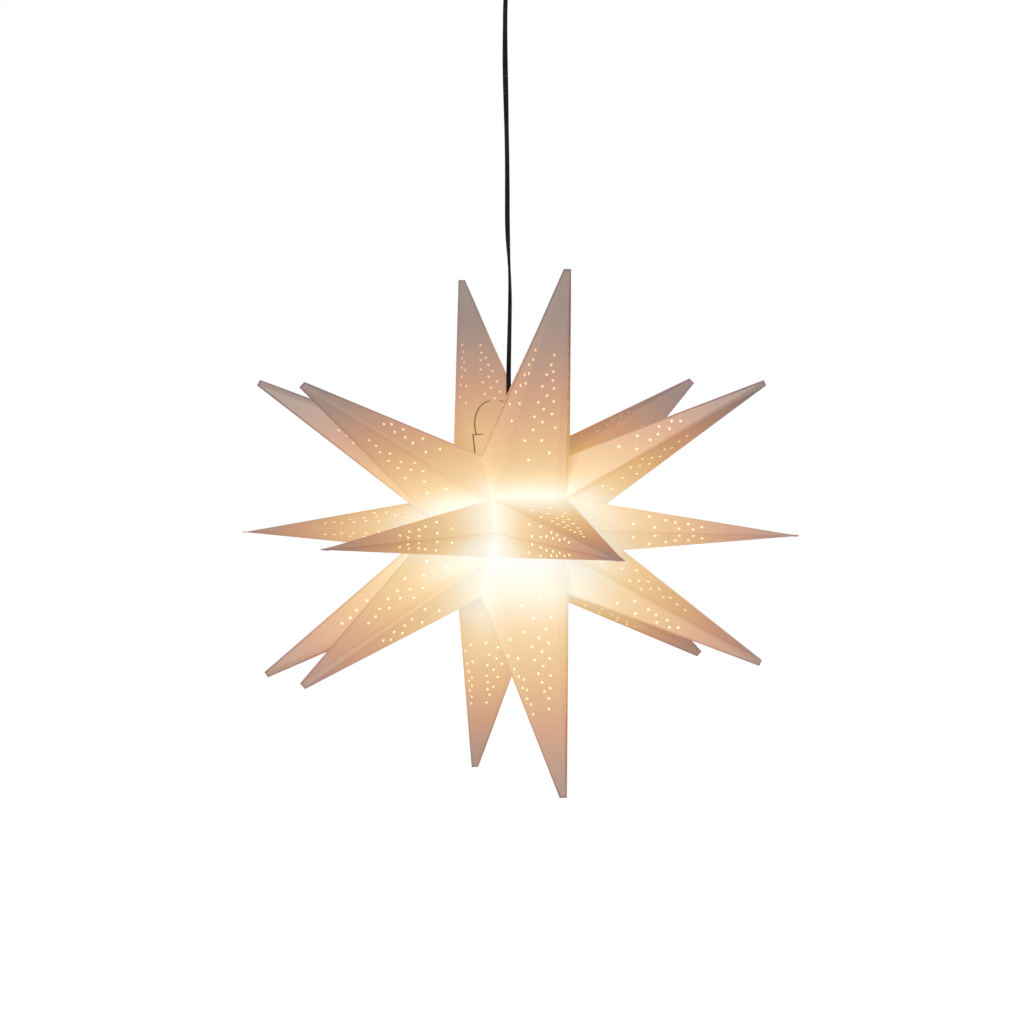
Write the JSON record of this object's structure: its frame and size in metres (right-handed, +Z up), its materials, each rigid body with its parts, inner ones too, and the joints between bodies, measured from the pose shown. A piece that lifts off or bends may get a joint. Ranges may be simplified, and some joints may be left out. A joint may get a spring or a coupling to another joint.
{
  "type": "paper star pendant lamp",
  "caption": "Folded paper star with many hollow points, lit by a bulb inside, hanging on a flat black cord from a ceiling canopy.",
  "frame": {"origin": "centre of the mounting bracket's top face, where it meets the ceiling", "axes": "+Z up, out of the bracket into the ceiling, +X to the right along the star's own axis, front towards -Y"},
  "size_m": [0.4936, 0.6026, 0.9277],
  "materials": {
    "star_paper": "laminated matt paper, fine grain, lit from inside",
    "flap_paper": "laminated matt paper",
    "cord_pvc": "satin PVC twin flex",
    "fitting_plastic": "moulded black plastic, satin gloss",
    "holder_phenolic": "moulded phenolic",
    "holder_ceramic": "fired ceramic",
    "zinc_steel": "zinc-plated pressed steel",
    "screw_steel": "zinc-plated screws",
    "terminal_nylon": "moulded nylon",
    "contact_brass": "bright pressed brass",
    "bulb_cap_metal": "nickel-plated rolled cap",
    "bulb_opal_glass": "frosted warm glass",
    "bulb_stem_glass": "clear pressed glass",
    "filament": "lit LED filament"
  },
  "bodies": {
    "ceiling": {"mounting_bracket": "zinc_steel", "canopy": "fitting_plastic", "canopy_screws": "screw_steel", "cord_grip": "fitting_plastic", "cord_grip_nut": "fitting_plastic", "cord_grip_screw": "screw_steel", "terminal_block": "terminal_nylon", "terminal_clamps": "contact_brass", "terminal_screws": "screw_steel", "terminal_block_screw": "screw_steel", "supply_cord": "cord_pvc"},
    "cord_link": {"cord_swing_link": "cord_pvc"},
    "pendant": {"hanging_cord": "cord_pvc", "wired_cord_end": "cord_pvc", "holder_cap": "holder_phenolic", "holder_cord_clamp": "holder_phenolic", "holder_cord_clamp_screws": "screw_steel", "holder_shell": "holder_phenolic", "holder_insert": "holder_ceramic", "screw_contact": "contact_brass", "centre_contact": "contact_brass", "holder_terminals": "contact_brass", "holder_terminal_screws": "screw_steel"},
    "bulb_tip": {"bulb_contact": "bulb_cap_metal"},
    "bulb": {"bulb_cap": "bulb_cap_metal", "bulb_glass": "bulb_opal_glass", "bulb_stem": "bulb_stem_glass", "bulb_filaments": "filament"},
    "star": {"front_sheet_1": "star_paper", "front_sheet_2": "star_paper", "top_front_sheet_1": "star_paper", "top_front_sheet_2": "star_paper", "top_back_sheet_1": "star_paper", "top_back_sheet_2": "star_paper", "back_sheet_1": "star_paper", "back_sheet_2": "star_paper", "bottom_back_sheet_1": "star_paper", "bottom_back_sheet_2": "star_paper", "bottom_front_sheet_1": "star_paper", "bottom_front_sheet_2": "star_paper"},
    "flap_left": {"closing_flap_left": "flap_paper"},
    "flap_right": {"closing_flap_right": "flap_paper"}
  },
  "joints": [
    {"name": "swing_front_back", "type": "hinge", "parent": "ceiling", "child": "cord_link", "pos_m": [0, 0, -0.052], "axis": [1, 0, 0], "range_deg": [-20, 20]},
    {"name": "swing_sideways", "type": "hinge", "parent": "cord_link", "child": "pendant", "pos_m": [0, 0, -0.064], "axis": [0, 1, 0], "range_deg": [-20, 20]},
    {"name": "star_turn", "type": "hinge", "parent": "pendant", "child": "star", "pos_m": [0, 0, -0.5911], "axis": [0, 0, 1], "range_deg": [-180, 180]},
    {"name": "flap_left_fold", "type": "hinge", "parent": "star", "child": "flap_left", "pos_m": [-0.0218, 0, -0.5884], "axis": [1, 0, 0], "range_deg": [0, 75]},
    {"name": "flap_right_fold", "type": "hinge", "parent": "star", "child": "flap_right", "pos_m": [0.0218, 0, -0.5884], "axis": [1, 0, 0], "range_deg": [0, 75]},
    {"name": "bulb_travel", "type": "slide", "parent": "pendant", "child": "bulb_tip", "axis": [0, 0, -1], "range_m": [0, 0.0127]},
    {"name": "bulb_turn", "type": "hinge", "parent": "bulb_tip", "child": "bulb", "pos_m": [0, 0, -0.6117], "axis": [0, 0, -1], "range_deg": [0, 1620]}
  ],
  "couplings": [
    {"joint": "bulb_travel", "follows": "bulb_turn", "m_per_rad": 0.00044917}
  ]
}
